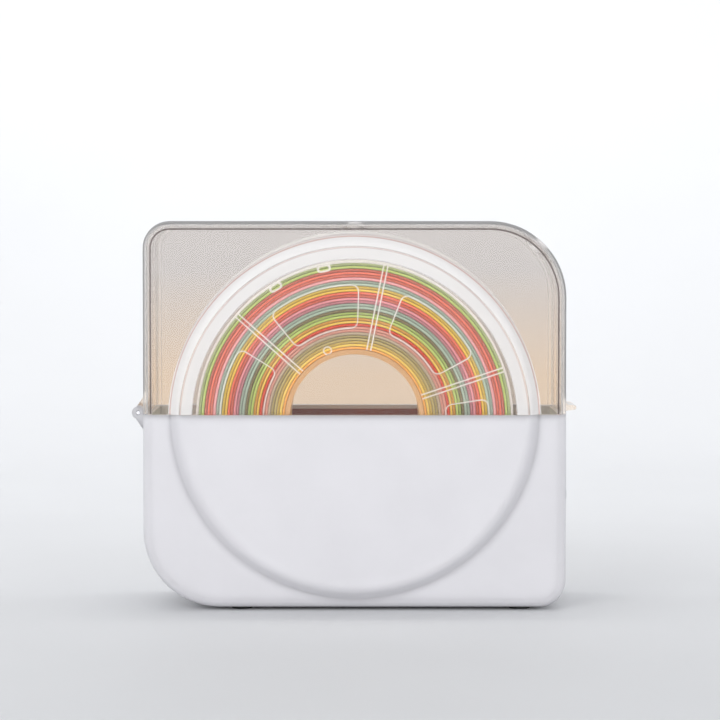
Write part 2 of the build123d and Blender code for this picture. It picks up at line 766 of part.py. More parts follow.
# ---------------------------------------------------------------- lid
CORNER_CENTRE = (HALF_WIDTH - LARGE_CORNER, TOP_Z - LARGE_CORNER)
PAD_SPREAD = 30.0  # degrees of the large corner that the flat outlet pad covers
PAD_REACH = LARGE_CORNER * cos(radians(PAD_SPREAD / 2))
PAD_WIDTH = 2 * LARGE_CORNER * sin(radians(PAD_SPREAD / 2))
PAD_DEPTH = 3.0
PAD_LENGTH = 72.0
OUTLET_YS = {"front": -18.0, "rear": 18.0}
GROMMET_RADIUS = 4.0
GROMMET_LIP = 5.25
LIP = 0.8  # thickness of a grommet's lip
PLUG_HEAD = 0.9
TOP_RECESS = 5.6  # radius of the round recess that the top outlet lies in
RECESS_DEPTH = LIP + GAP + PLUG_HEAD
RECESS_FLOOR = 2.5
OUTLET_BORE = 2.1
PAD_PLANE = radial_plane(45, PAD_REACH, CORNER_CENTRE)
TAB_WIDTH = 40.0


def make_lid_shell():
    """Clear lid with its knuckle, pull tab, flat outlet pad and the holes of the outlets."""
    with BuildPart() as lid:
        add(box_form(0))
        add(box_form(WALL), mode=Mode.SUBTRACT)
        split(bisect_by=Plane.XY.offset(PARTING_Z + GAP), keep=Keep.TOP)
        extrude(knuckle_outline(upwards=True), amount=LID_KNUCKLE / 2, both=True)
        extrude(pin_hole(PIN_RADIUS + FIT), amount=HINGE_LENGTH, both=True, mode=Mode.SUBTRACT)
        # pull tab at the right end
        with BuildSketch(Plane.XZ) as tab:
            with BuildLine():
                reach = -PIN_X + KNUCKLE_RADIUS
                Polyline(
                    (HALF_WIDTH - 0.5, PARTING_Z + GAP),
                    (reach, PARTING_Z + GAP + 1.2),
                    (reach, PARTING_Z + GAP + 3.6),
                    (HALF_WIDTH + 3, PARTING_Z + GAP + 4.4),
                    (HALF_WIDTH - 0.5, PARTING_Z + GAP + 8),
                    close=True,
                )
            make_face()
            fillet(tab.vertices().sort_by(Axis.X)[-2:], 1.1)
        extrude(amount=TAB_WIDTH / 2, both=True)
        # flat pad on the large corner
        with BuildSketch(PAD_PLANE):
            Rectangle(PAD_LENGTH, PAD_WIDTH)
        extrude(amount=-PAD_DEPTH)
        with BuildSketch(PAD_PLANE):
            Rectangle(PAD_LENGTH, PAD_WIDTH + 10)
        extrude(amount=10, mode=Mode.SUBTRACT)
        with BuildSketch(PAD_PLANE):
            with Locations(*[(y, 0) for y in OUTLET_YS.values()]):
                Circle(GROMMET_RADIUS)
        extrude(amount=-PAD_DEPTH - 2, mode=Mode.SUBTRACT)
        # round recess of the top outlet, with its floor hanging below the wall
        with BuildSketch(Plane.XY.offset(TOP_Z - WALL)):
            Circle(TOP_RECESS + 2)
        extrude(amount=WALL - RECESS_DEPTH - RECESS_FLOOR)
        with BuildSketch(Plane.XY.offset(TOP_Z)):
            Circle(TOP_RECESS)
        extrude(amount=-RECESS_DEPTH, mode=Mode.SUBTRACT)
        with BuildSketch(Plane.XY.offset(TOP_Z)):
            Circle(GROMMET_RADIUS)
        extrude(amount=-RECESS_DEPTH - RECESS_FLOOR - 1, mode=Mode.SUBTRACT)
    finish(lid, "lid_shell")


def make_grommet(plane, y, depth, name):
    """Soft outlet ring with a lip on each side of the lid's wall."""
    with BuildPart() as grommet:
        with BuildSketch(plane):
            with Locations((y, 0)):
                Circle(GROMMET_LIP)
        extrude(amount=LIP)
        fillet(grommet.edges().sort_by(Axis(plane.origin, plane.z_dir))[-1], 0.3)
        with BuildSketch(plane):
            with Locations((y, 0)):
                Circle(GROMMET_RADIUS)
        extrude(amount=-depth)
        with BuildSketch(plane.offset(-depth)):
            with Locations((y, 0)):
                Circle(GROMMET_LIP)
        extrude(amount=-LIP)
        with BuildSketch(plane.offset(LIP)):
            with Locations((y, 0)):
                Circle(OUTLET_BORE)
        extrude(amount=-depth - 3 * LIP, mode=Mode.SUBTRACT)
    finish(grommet, name)


def make_plug(plane, y, depth, name):
    """Soft plug that closes an outlet: a round head and a stem in the bore."""
    head = plane.offset(LIP + GAP)
    with BuildPart() as plug:
        with BuildSketch(head):
            with Locations((y, 0)):
                Circle(GROMMET_LIP)
        extrude(amount=PLUG_HEAD)
        fillet(plug.edges().sort_by(Axis(plane.origin, plane.z_dir))[-1], 0.5)
        with BuildSketch(head):
            with Locations((y, 0)):
                Circle(OUTLET_BORE - 0.08)
        extrude(amount=-depth - 3 * LIP)
    finish(plug, name)


# ---------------------------------------------------------------- spool
WINDOW_START = 58.0
WINDOW_END = 84.5
WINDOW_HALF = 20.0  # degrees each way from a window's middle
WINDOW_CORNER = 4.0
WINDOW_RIM = 0.7  # width of the raised rim round a window
RIM_BEAD = 1.2
BEAD_HEIGHT = 0.8
RIB_WIDTH = 0.8
RIB_HEIGHT = 0.6
RIB_SPACING = 2.6  # between the two ribs of a pair
EYELET_REACH = SPOOL_RADIUS - 2.9
EYELET_ANGLES = (101.5, 120.8)
HUB_HOLE_ANGLE = 111.5


def window_outline(middle, rim):
    """Outline of the flange window at that angle, larger all round by the rim's width."""
    half = WINDOW_HALF + degrees(rim / ((WINDOW_START + WINDOW_END) / 2))
    return ring_sector(WINDOW_START - rim, WINDOW_END + rim, middle - half, 2 * half)


def make_flange(side, name):
    """Clear flange with six windows, pairs of ribs, a rim bead and two eyelets for the filament's end."""
    inner_face = side * (SPOOL_WIDTH / 2 - FLANGE)
    face = Plane.XZ.offset(-side * SPOOL_WIDTH / 2)
    to_face = Location((0, side * SPOOL_WIDTH / 2, 0))
    with BuildPart() as flange:
        with BuildSketch(Plane.XZ.offset(-inner_face)):
            with Locations((0, SPOOL_Z)):
                Circle(SPOOL_RADIUS)
                Circle(HUB_INNER, mode=Mode.SUBTRACT)
        extrude(amount=-side * FLANGE)
        # windows, each with a raised rim
        middles = [RIB_START + (index + 0.5) * 360 / RIB_COUNT for index in range(RIB_COUNT)]
        for middle in middles:
            extrude(window_outline(middle, WINDOW_RIM).moved(to_face), amount=-side * RIB_HEIGHT)
        for middle in middles:
            extrude(window_outline(middle, 0), amount=SPOOL_WIDTH, both=True, mode=Mode.SUBTRACT)
        upright = flange.edges().filter_by(Axis.Y)
        fillet(upright.filter_by(lambda edge: edge.length > FLANGE - 0.1), WINDOW_CORNER)
        upright = flange.edges().filter_by(Axis.Y)
        fillet(upright.filter_by(lambda edge: edge.length < RIB_HEIGHT + 0.1), WINDOW_CORNER + WINDOW_RIM)
        # beads round the rim and the hole
        with BuildSketch(face):
            with Locations((0, SPOOL_Z)):
                Circle(SPOOL_RADIUS)
                Circle(SPOOL_RADIUS - RIM_BEAD, mode=Mode.SUBTRACT)
                Circle(HUB_INNER + RIM_BEAD)
                Circle(HUB_INNER, mode=Mode.SUBTRACT)
        extrude(amount=-side * BEAD_HEIGHT)
        for index in range(RIB_COUNT):
            angle = RIB_START + index * 360 / RIB_COUNT
            with BuildSketch(face):
                with Locations((0, SPOOL_Z)):
                    with PolarLocations((HUB_OUTER + SPOOL_RADIUS) / 2, 1, start_angle=angle):
                        with Locations((0, -RIB_SPACING / 2), (0, RIB_SPACING / 2)):
                            Rectangle(SPOOL_RADIUS - HUB_OUTER - 1, RIB_WIDTH)
            extrude(amount=-side * RIB_HEIGHT)
        # eyelets and the hole beside the hub, with raised rims
        with BuildSketch(face):
            with Locations((0, SPOOL_Z)):
                for angle in EYELET_ANGLES:
                    with PolarLocations(EYELET_REACH, 1, start_angle=angle):
                        SlotOverall(9.0, 4.8, rotation=90)
                with PolarLocations(HUB_OUTER + 2.6, 1, start_angle=HUB_HOLE_ANGLE):
                    Circle(2.8)
        extrude(amount=-side * BEAD_HEIGHT)
        with BuildSketch(face.offset(-side * BEAD_HEIGHT)):
            with Locations((0, SPOOL_Z)):
                for angle in EYELET_ANGLES:
                    with PolarLocations(EYELET_REACH, 1, start_angle=angle):
                        SlotOverall(6.0, 2.4, rotation=90)
                with PolarLocations(HUB_OUTER + 2.6, 1, start_angle=HUB_HOLE_ANGLE):
                    Circle(2.1)
        extrude(amount=side * (FLANGE + BEAD_HEIGHT), mode=Mode.SUBTRACT)
    finish(flange, name)


def make_hub():
    """Round tube between the flanges."""
    with BuildPart() as hub:
        with BuildSketch(Plane.XZ):
            with Locations((0, SPOOL_Z)):
                Circle(HUB_OUTER)
                Circle(HUB_INNER, mode=Mode.SUBTRACT)
        extrude(amount=SPOOL_WIDTH / 2 - FLANGE, both=True)
    finish(hub, "spool_hub")


def make_winding():
    """The wound filament as one body, grooved where its outer turns lie."""
    half = SPOOL_WIDTH / 2 - FLANGE - 0.1
    turns = int(2 * half / STRAND)
    pitch = 2 * half / turns
    valley = WINDING_RADIUS - STRAND / 2
    core = HUB_OUTER + FIT
    with BuildPart() as winding:
        with BuildSketch(Plane.XY.offset(SPOOL_Z)):
            with BuildLine():
                for index in range(turns):
                    near = -half + index * pitch
                    far = near + pitch
                    ThreePointArc((valley, near), (WINDING_RADIUS, (near + far) / 2), (valley, far))
                Polyline((valley, half), (core, half), (core, -half), (valley, -half))
            make_face()
        revolve(axis=SPOOL_AXIS)
    finish(winding, "filament_winding")


def main():
    make_base_shell()
    make_feet()
    make_inner_tray()
    make_lid_seal()
    make_tray_screws()
    make_heater()
    make_bracket_screws()
    make_roller_clips()
    for way, left_right in ((-1, "left"), (1, "right")):
        make_roller_bracket(way, f"{left_right}_roller_bracket")
        make_roller_axle(way, f"{left_right}_roller_axle")
        for side, front_rear in ((-1, "front"), (1, "rear")):
            make_roller(way, side, f"{front_rear}_{left_right}_roller")
    make_hinge_pin()
    make_humidity_sensor()
    make_fan_frame()
    make_fan_rotor()
    make_fan_screws()
    make_control_board()
    make_power_jack()
    make_control_panel()
    make_keys()
    make_leads()
    make_lid_shell()
    for place, y in OUTLET_YS.items():
        make_grommet(PAD_PLANE, y, PAD_DEPTH, f"{place}_outlet_grommet")
    recess_plane = Plane.XY.offset(TOP_Z - RECESS_DEPTH)
    make_grommet(recess_plane, 0, RECESS_FLOOR, "top_outlet_grommet")
    make_plug(PAD_PLANE, OUTLET_YS["front"], PAD_DEPTH, "front_outlet_plug")
    make_plug(recess_plane, 0, RECESS_FLOOR, "top_outlet_plug")
    make_flange(-1, "front_flange")
    make_flange(1, "rear_flange")
    make_hub()
    make_winding()


main()
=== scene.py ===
"""Looks of the filament dryer box: materials, wound filament, figures, key marks, light and camera."""

import json
import math
import random

import bmesh
import bpy
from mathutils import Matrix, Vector


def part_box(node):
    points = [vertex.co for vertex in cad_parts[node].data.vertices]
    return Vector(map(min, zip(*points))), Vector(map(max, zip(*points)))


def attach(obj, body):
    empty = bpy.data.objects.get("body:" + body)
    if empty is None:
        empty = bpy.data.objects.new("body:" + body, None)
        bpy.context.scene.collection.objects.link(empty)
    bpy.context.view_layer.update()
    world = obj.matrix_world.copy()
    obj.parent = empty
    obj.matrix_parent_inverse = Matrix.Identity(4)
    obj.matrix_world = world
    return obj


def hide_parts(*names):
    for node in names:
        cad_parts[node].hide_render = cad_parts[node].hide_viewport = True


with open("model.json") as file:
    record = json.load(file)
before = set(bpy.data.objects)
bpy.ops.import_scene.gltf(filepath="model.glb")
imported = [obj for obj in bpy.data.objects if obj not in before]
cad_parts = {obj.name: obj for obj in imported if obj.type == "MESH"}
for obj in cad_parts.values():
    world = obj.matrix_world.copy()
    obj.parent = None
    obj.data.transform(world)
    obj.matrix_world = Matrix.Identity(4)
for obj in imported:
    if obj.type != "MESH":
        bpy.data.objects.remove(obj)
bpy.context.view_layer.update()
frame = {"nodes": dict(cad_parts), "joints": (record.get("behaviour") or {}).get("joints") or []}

NODES = frame["nodes"]
MM = 0.001

random.seed(20)


# ---------------------------------------------------------------- places read from the frame
def joint(name):
    """The record's joint of that name."""
    return next(j for j in frame["joints"] if j["name"] == name)


def corners(node):
    """The low and the high corner of a CAD node's box."""
    return [Vector(corner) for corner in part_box(node)]


SPOOL_CENTRE = Vector(joint("spool_turn")["pos_m"])
BASE_LOW, BASE_HIGH = corners("base_shell")
WINDING_LOW, WINDING_HIGH = corners("filament_winding")
HUB_LOW, HUB_HIGH = corners("spool_hub")
PARTING_Z = BASE_HIGH.z
BULGE = 6 * MM  # how far the round bulge stands out of a broad side
FLAT_FACE = BASE_HIGH.y - BULGE  # of a broad side, from the middle plane
STEP = 0.5 * MM  # the fine step round the flat
BEAD_HEIGHT = 0.8 * MM  # of the rim beads, the highest thing on a flange's flat face
FLANGE_FACE = corners("rear_flange")[1].y - BEAD_HEIGHT

# rings round the spool's axis, from and to; the bulge is 115 mm in radius
FLANGE_RIBS = (44.5 * MM, 99 * MM)
FLANGE_RIM = (98.6 * MM, 400 * MM)
FROSTED_RING = (102 * MM, 108 * MM)
FINE_LINE = (108.5 * MM, 109 * MM)
BULGE_FLANK = (109.8 * MM, 116.2 * MM)
BULGE_EDGE = (115.2 * MM, 115.9 * MM)
PAST_BULGE = (117.5 * MM, 400 * MM)
PAST_PAINTED_SHADE = (94 * MM, 400 * MM)  # the tray's painted dark shade ends where this begins


# ---------------------------------------------------------------- material helpers
NOISE_LOW = 0.3  # a noise value seldom leaves this range
NOISE_HIGH = 0.7


def linear(red, green, blue):
    """Colour as the eye sees it, 0 to 255, to the linear values that Blender takes."""
    def channel(value):
        value /= 255
        return value / 12.92 if value <= 0.04045 else ((value + 0.055) / 1.055) ** 2.4

    return (channel(red), channel(green), channel(blue), 1.0)


def new_material(name):
    """A new Principled material, its node tree and its shader."""
    material = bpy.data.materials.new(name)
    material.use_nodes = True
    tree = material.node_tree
    return material, tree, tree.nodes["Principled BSDF"]


def object_coordinates(tree):
    return tree.nodes.new("ShaderNodeTexCoord").outputs["Object"]


def noise(tree, scale, detail=3.0, stretch=(1, 1, 1)):
    """A noise value over the object's own coordinates; scale is in cells per metre."""
    mapping = tree.nodes.new("ShaderNodeMapping")
    mapping.inputs["Scale"].default_value = stretch
    texture = tree.nodes.new("ShaderNodeTexNoise")
    texture.inputs["Scale"].default_value = scale
    texture.inputs["Detail"].default_value = detail
    tree.links.new(object_coordinates(tree), mapping.inputs["Vector"])
    tree.links.new(mapping.outputs["Vector"], texture.inputs["Vector"])
    return texture.outputs["Fac"]


def ramp(tree, value, low, high):
    """Blend between two colours over the range of a noise value."""
    node = tree.nodes.new("ShaderNodeValToRGB")
    first, last = node.color_ramp.elements
    first.position = NOISE_LOW
    first.color = low
    last.position = NOISE_HIGH
    last.color = high
    tree.links.new(value, node.inputs["Fac"])
    return node.outputs["Color"]


def map_range(tree, value, start, end, low, high):
    """Goes from low to high as the value goes from start to end, and stays there."""
    node = tree.nodes.new("ShaderNodeMapRange")
    node.inputs["From Min"].default_value = start
    node.inputs["From Max"].default_value = end
    node.inputs["To Min"].default_value = low
    node.inputs["To Max"].default_value = high
    tree.links.new(value, node.inputs["Value"])
    return node.outputs["Result"]


def spread(tree, value, low, high):
    """Map a noise value to a range of plain numbers."""
    return map_range(tree, value, NOISE_LOW, NOISE_HIGH, low, high)


def tinted(tree, share, first, second):
    """Blend of two colours, each a colour or a socket, by a share from 0 to 1."""
    mix = tree.nodes.new("ShaderNodeMix")
    mix.data_type = "RGBA"
    tree.links.new(share, mix.inputs["Factor"])
    for socket, colour in ((mix.inputs["A"], first), (mix.inputs["B"], second)):
        if isinstance(colour, tuple):
            socket.default_value = colour
        else:
            tree.links.new(colour, socket)
    return mix.outputs["Result"]


def maths(tree, operation, first, second=0.0):
    """One sum over two values, each a number or a socket."""
    node = tree.nodes.new("ShaderNodeMath")
    node.operation = operation
    for socket, value in zip(node.inputs, (first, second)):
        if isinstance(value, float):
            socket.default_value = value
        else:
            tree.links.new(value, socket)
    return node.outputs["Value"]


def highest(tree, first, second):
    return maths(tree, "MAXIMUM", first, second)


def bump(tree, shader, value, strength, distance):
    """Let a value raise the surface; gives the bump node back."""
    node = tree.nodes.new("ShaderNodeBump")
    node.inputs["Strength"].default_value = strength
    node.inputs["Distance"].default_value = distance
    tree.links.new(value, node.inputs["Height"])
    tree.links.new(node.outputs["Normal"], shader.inputs["Normal"])
    return node


# ---------------------------------------------------------------- where on the object a place lies
def part_of(tree, kind, axis):
    """One part of the object's own coordinates or normal."""
    apart = tree.nodes.new("ShaderNodeSeparateXYZ")
    tree.links.new(tree.nodes.new("ShaderNodeTexCoord").outputs[kind], apart.inputs["Vector"])
    return apart.outputs[axis]


def spool_radius(tree):
    """Distance from the spool's axis, in metres."""
    place = tree.nodes.new("ShaderNodeMapping")
    place.inputs["Location"].default_value = (-SPOOL_CENTRE.x, 0, -SPOOL_CENTRE.z)
    place.inputs["Scale"].default_value = (1, 0, 1)
    tree.links.new(object_coordinates(tree), place.inputs["Vector"])
    length = tree.nodes.new("ShaderNodeVectorMath")
    length.operation = "LENGTH"
    tree.links.new(place.outputs["Vector"], length.inputs[0])
    return length.outputs["Value"]


def depth_from_middle(tree):
    """Distance from the middle plane of the box, to the front or the back."""
    return maths(tree, "ABSOLUTE", part_of(tree, "Object", "Y"))


def upright(tree):
    """1 where a surface faces the front or the back squarely, 0 where it faces up, down or sideways."""
    return maths(tree, "ABSOLUTE", part_of(tree, "Normal", "Y"))


def band_mask(tree, value, band, soft, strength):
    """Rises to the strength where the value is in the band, with soft sides."""
    start, end = band
    span = end - start + 2 * soft
    low = start - soft
    node = tree.nodes.new("ShaderNodeValToRGB")
    tree.links.new(map_range(tree, value, low, low + span, 0.0, 1.0), node.inputs["Fac"])
    black = (0, 0, 0, 1)
    full = (strength, strength, strength, 1)
    stops = ((0.0, black), (soft / span, full), (1 - soft / span, full), (1.0, black))
    elements = node.color_ramp.elements
    for index, (place, level) in enumerate(stops):
        stop = elements[index] if index < 2 else elements.new(place)
        stop.position = place
        stop.color = level
    return node.outputs["Color"]


def step_mask(tree, strength):
    """The sloping step round the flat of the front; the bulge's own slope lies inside the radius."""
    forward = maths(tree, "MULTIPLY", part_of(tree, "Object", "Y"), -1.0)
    step = (FLAT_FACE - STEP - 0.03 * MM, FLAT_FACE - 0.05 * MM)
    slope = band_mask(tree, forward, step, 0.02 * MM, strength)
    outside = band_mask(tree, spool_radius(tree), PAST_BULGE, 0.5 * MM, 1.0)
    return maths(tree, "MULTIPLY", slope, outside)


def edge_mask(tree, strength):
    """The roundings of the rim: steep surfaces close to the broad sides."""
    steep = map_range(tree, upright(tree), 0.95, 0.7, 0.0, strength)
    near = band_mask(tree, depth_from_middle(tree), (44 * MM, 400 * MM), 1 * MM, 1.0)
    return maths(tree, "MULTIPLY", steep, near)


# ---------------------------------------------------------------- kinds of material
def toned_on_convex(tree, colour, edge_colour, amount):
    """Mix towards the edge colour where the surface is convex."""
    pointed = tree.nodes.new("ShaderNodeNewGeometry").outputs["Pointiness"]
    return tinted(tree, map_range(tree, pointed, 0.5, 0.6, 0.0, amount), colour, edge_colour)


def plastic(
    name, low, high, rough=(0.3, 0.42), grain=900.0, grain_depth=0.02 * MM, coat=0.0, edge=None, soft_edge=0.0
):
    """Moulded plastic or rubber: slight tone changes, uneven gloss and a fine grain."""
    material, tree, shader = new_material(name)
    colour = ramp(tree, noise(tree, 24.0, 4.0), low, high)
    if edge:
        colour = toned_on_convex(tree, colour, edge, 0.6)
    tree.links.new(colour, shader.inputs["Base Color"])
    tree.links.new(spread(tree, noise(tree, 60.0, 5.0), *rough), shader.inputs["Roughness"])
    shader.inputs["IOR"].default_value = 1.49
    shader.inputs["Coat Weight"].default_value = coat
    shader.inputs["Coat Roughness"].default_value = 0.12
    surface = bump(tree, shader, noise(tree, grain, 2.0), 0.35, grain_depth)
    if soft_edge:
        rounding = tree.nodes.new("ShaderNodeBevel")
        rounding.samples = 8
        rounding.inputs["Radius"].default_value = soft_edge
        tree.links.new(rounding.outputs["Normal"], surface.inputs["Normal"])
    return material


def metal(name, low, high, rough=(0.22, 0.38), brush=(1, 1, 1), scale=700.0):
    """Metal with a machined or rolled grain along one direction."""
    material, tree, shader = new_material(name)
    grain = noise(tree, scale, 4.0, brush)
    tree.links.new(ramp(tree, grain, low, high), shader.inputs["Base Color"])
    tree.links.new(spread(tree, grain, *rough), shader.inputs["Roughness"])
    shader.inputs["Metallic"].default_value = 1.0
    bump(tree, shader, grain, 0.25, 0.02 * MM)
    return material


def set_colour(tree, socket, colour):
    """Give a socket a plain colour, or what a function makes of the tree."""
    if callable(colour):
        tree.links.new(colour(tree), socket)
    else:
        socket.default_value = colour


def clear_plastic(
    name, tint, shadow_tint, rough=(0.0, 0.02), ior=1.45, scuffs=0.1, haze=None, haze_tint=None
):
    """Clear moulded plastic that lets lamp light through, with faint moulding waves and fine scuffs.

    haze is a function that gives, for the tree, how far each place is frosted.
    """
    material, tree, shader = new_material(name)
    set_colour(tree, shader.inputs["Base Color"], tint)
    shader.inputs["Transmission Weight"].default_value = 1.0
    shader.inputs["IOR"].default_value = ior
    tree.links.new(spread(tree, noise(tree, 45.0, 6.0), *rough), shader.inputs["Roughness"])
    bump(tree, shader, noise(tree, 38.0, 2.0), scuffs, 0.2 * MM)
    surface = shader.outputs["BSDF"]
    if haze:
        frosted = tree.nodes.new("ShaderNodeBsdfPrincipled")
        set_colour(tree, frosted.inputs["Base Color"], haze_tint)
        frosted.inputs["Roughness"].default_value = 0.45
        blend = tree.nodes.new("ShaderNodeMixShader")
        tree.links.new(haze(tree), blend.inputs["Fac"])
        tree.links.new(surface, blend.inputs[1])
        tree.links.new(frosted.outputs["BSDF"], blend.inputs[2])
        surface = blend.outputs["Shader"]
    see_through = tree.nodes.new("ShaderNodeBsdfTransparent")
    see_through.inputs["Color"].default_value = shadow_tint
    path = tree.nodes.new("ShaderNodeLightPath")
    mix = tree.nodes.new("ShaderNodeMixShader")
    tree.links.new(path.outputs["Is Shadow Ray"], mix.inputs["Fac"])
    tree.links.new(surface, mix.inputs[1])
    tree.links.new(see_through.outputs["BSDF"], mix.inputs[2])
    tree.links.new(mix.outputs["Shader"], tree.nodes["Material Output"].inputs["Surface"])
    return material


# ---------------------------------------------------------------- materials of one piece each
def lid_haze(tree):
    """The lid is frosted on the bulge between the spool's rim and its edge, and on the fine step, where the
    frosting carries a painted shade.
    """
    radius = spool_radius(tree)
    ring = band_mask(tree, radius, FROSTED_RING, 1 * MM, 0.6)
    line = band_mask(tree, radius, FINE_LINE, 0.3 * MM, 0.6)
    flank = band_mask(tree, radius, BULGE_FLANK, 0.6 * MM, 0.75)
    rings = highest(tree, ring, highest(tree, line, flank))
    edges = highest(tree, edge_mask(tree, 0.36), step_mask(tree, 0.8))
    return highest(tree, 0.015, highest(tree, rings, edges))


def lid_haze_tint(tree):
    """White frosting with a few thin darker rings, and painted dark brown shade on the fine step of the
    front.
    """
    radius = spool_radius(tree)
    line = band_mask(tree, radius, FINE_LINE, 0.2 * MM, 0.5)
    edge = band_mask(tree, radius, BULGE_EDGE, 0.2 * MM, 0.75)
    rings = tinted(tree, highest(tree, line, edge), linear(217, 216, 216), linear(180, 140, 130))
    # painted shade: the front's fine step is tinted dark brown
    return tinted(tree, step_mask(tree, 1.0), rings, linear(60, 40, 36))


def lid_tint(tree):
    """Faintly smoky, and warmer low down on the back wall, a painted warm glow."""
    behind = maths(tree, "GREATER_THAN", part_of(tree, "Object", "Y"), 0.0)
    low = map_range(tree, part_of(tree, "Object", "Z"), PARTING_Z + 85 * MM, PARTING_Z + 15 * MM, 0.0, 1.0)
    # painted light: a warm glow tinted into the back wall low down
    painted_glow = maths(tree, "MULTIPLY", low, behind)
    return tinted(tree, painted_glow, linear(231, 227, 224), linear(255, 231, 204))


def silicone_haze(tree):
    return spread(tree, noise(tree, 400.0, 2.0), 0.4, 0.55)


def flange_haze(tree):
    """Raised beads, ribs and cut edges of a flange are frosted, its flat faces are clear."""
    depth = depth_from_middle(tree)
    raised = map_range(tree, depth, FLANGE_FACE + 0.2 * MM, FLANGE_FACE + 0.5 * MM, 0.0, 1.0)
    radius = spool_radius(tree)
    ribs = band_mask(tree, radius, FLANGE_RIBS, 0.5 * MM, 0.85)
    rim = band_mask(tree, radius, FLANGE_RIM, 0.1 * MM, 0.9)
    beads = maths(tree, "MULTIPLY", raised, highest(tree, ribs, rim))
    cut = map_range(tree, upright(tree), 0.9, 0.3, 0.0, 0.6)
    return highest(tree, 0.015, highest(tree, beads, cut))


def tray_with_painted_shade():
    """Pale moulding, painted dark brown within 94 mm of the spool's axis: painted shade on the trough's walls
    before and behind the spool.
    """
    material, tree, shader = new_material("tray_with_painted_shade")
    # painted shade: dark brown near the spool's axis, where the trough lies in shade behind the hub
    dark = ramp(tree, noise(tree, 30.0, 4.0), linear(116, 42, 20), linear(136, 54, 28))
    pale = ramp(tree, noise(tree, 24.0, 4.0), linear(206, 202, 198), linear(220, 216, 212))
    unshaded = band_mask(tree, spool_radius(tree), PAST_PAINTED_SHADE, 0.5 * MM, 1.0)
    tree.links.new(tinted(tree, unshaded, dark, pale), shader.inputs["Base Color"])
    tree.links.new(spread(tree, noise(tree, 60.0, 5.0), 0.45, 0.6), shader.inputs["Roughness"])
    bump(tree, shader, noise(tree, 1100.0, 2.0), 0.35, 0.05 * MM)
    return material


def filament_material():
    """Each strand's own colour, a little uneven along it, satin, and glowing faintly in its own colour as
    painted light.
    """
    material, tree, shader = new_material("filament_bands")
    tint = tree.nodes.new("ShaderNodeVertexColor")
    tint.layer_name = TINT_LAYER
    shade = ramp(tree, noise(tree, 160.0, 3.0), (0.94, 0.94, 0.94, 1), (1, 1, 1, 1))
    mix = tree.nodes.new("ShaderNodeMix")
    mix.data_type = "RGBA"
    mix.blend_type = "MULTIPLY"
    mix.inputs["Factor"].default_value = 1.0
    tree.links.new(tint.outputs["Color"], mix.inputs["A"])
    tree.links.new(shade, mix.inputs["B"])
    tree.links.new(mix.outputs["Result"], shader.inputs["Base Color"])
    # painted light: the strands glow faintly in their own colour to look brighter
    tree.links.new(mix.outputs["Result"], shader.inputs["Emission Color"])
    shader.inputs["Emission Strength"].default_value = 0.08
    tree.links.new(spread(tree, noise(tree, 220.0), 0.28, 0.42), shader.inputs["Roughness"])
    shader.inputs["Coat Weight"].default_value = 0.25
    shader.inputs["Coat Roughness"].default_value = 0.2
    bump(tree, shader, noise(tree, 2600.0, 2.0), 0.3, 0.02 * MM)
    return material


def board_green():
    """Solder mask with copper tracks showing through as lighter lines."""
    material, tree, shader = new_material("board_green")
    tracks = tree.nodes.new("ShaderNodeTexBrick")
    tracks.inputs["Color1"].default_value = linear(18, 78, 44)
    tracks.inputs["Color2"].default_value = linear(22, 88, 50)
    tracks.inputs["Mortar"].default_value = linear(60, 130, 80)
    tracks.inputs["Scale"].default_value = 160.0
    tracks.inputs["Mortar Size"].default_value = 0.03
    turn = tree.nodes.new("ShaderNodeMapping")
    turn.inputs["Rotation"].default_value = (0, math.pi / 2, 0)
    tree.links.new(object_coordinates(tree), turn.inputs["Vector"])
    tree.links.new(turn.outputs["Vector"], tracks.inputs["Vector"])
    tree.links.new(tracks.outputs["Color"], shader.inputs["Base Color"])
    tree.links.new(spread(tree, noise(tree, 300.0), 0.3, 0.5), shader.inputs["Roughness"])
    bump(tree, shader, tracks.outputs["Fac"], 0.3, 0.04 * MM)
    return material


def display_face():
    """Grey-green reflective display with faint light from behind, cloudy all over."""
    material, tree, shader = new_material("display_face")
    cloud = noise(tree, 30.0, 2.0)
    tree.links.new(ramp(tree, cloud, linear(34, 52, 58), linear(44, 66, 72)), shader.inputs["Base Color"])
    tree.links.new(spread(tree, cloud, 0.3, 0.4), shader.inputs["Roughness"])
    shader.inputs["Emission Color"].default_value = linear(70, 110, 120)
    shader.inputs["Emission Strength"].default_value = 0.25
    return material


def lit_figures():
    """Pale lit figures of the display."""
    material, tree, shader = new_material("display_figures")
    glow = ramp(tree, noise(tree, 900.0), linear(205, 232, 236), linear(232, 246, 248))
    tree.links.new(glow, shader.inputs["Base Color"])
    shader.inputs["Roughness"].default_value = 0.4
    shader.inputs["Emission Color"].default_value = linear(205, 235, 240)
    shader.inputs["Emission Strength"].default_value = 1.2
    return material


# ---------------------------------------------------------------- materials of the CAD nodes
def shell_finishes():
    """The white base, whose bulge runs softly into its flat sides, and what is clear round the spool."""
    shell = plastic(
        "shell_white", linear(194, 193, 197), linear(198, 197, 201), rough=(0.31, 0.35), grain=1400,
        coat=0.05, soft_edge=8 * MM,
    )
    lid = clear_plastic(
        "lid_clear", lid_tint, (0.97, 0.965, 0.96, 1), rough=(0.0, 0.006), ior=1.2, scuffs=0.03,
        haze=lid_haze, haze_tint=lid_haze_tint,
    )
    silicone = clear_plastic(
        "clear_silicone", linear(244, 244, 246), (0.8, 0.8, 0.8, 1), rough=(0.25, 0.4), ior=1.25, scuffs=0.2,
        haze=silicone_haze, haze_tint=linear(238, 238, 240),
    )
    seal = plastic("seal_grey", linear(196, 190, 186), linear(208, 202, 198), rough=(0.55, 0.7), grain=1500)
    return [
        (shell, "base_shell"),
        (lid, "lid_shell"),
        (silicone, "front_outlet_grommet rear_outlet_grommet top_outlet_grommet"),
        (silicone, "front_outlet_plug top_outlet_plug"),
        (seal, "lid_seal"),
        (tray_with_painted_shade(), "inner_tray"),
    ]


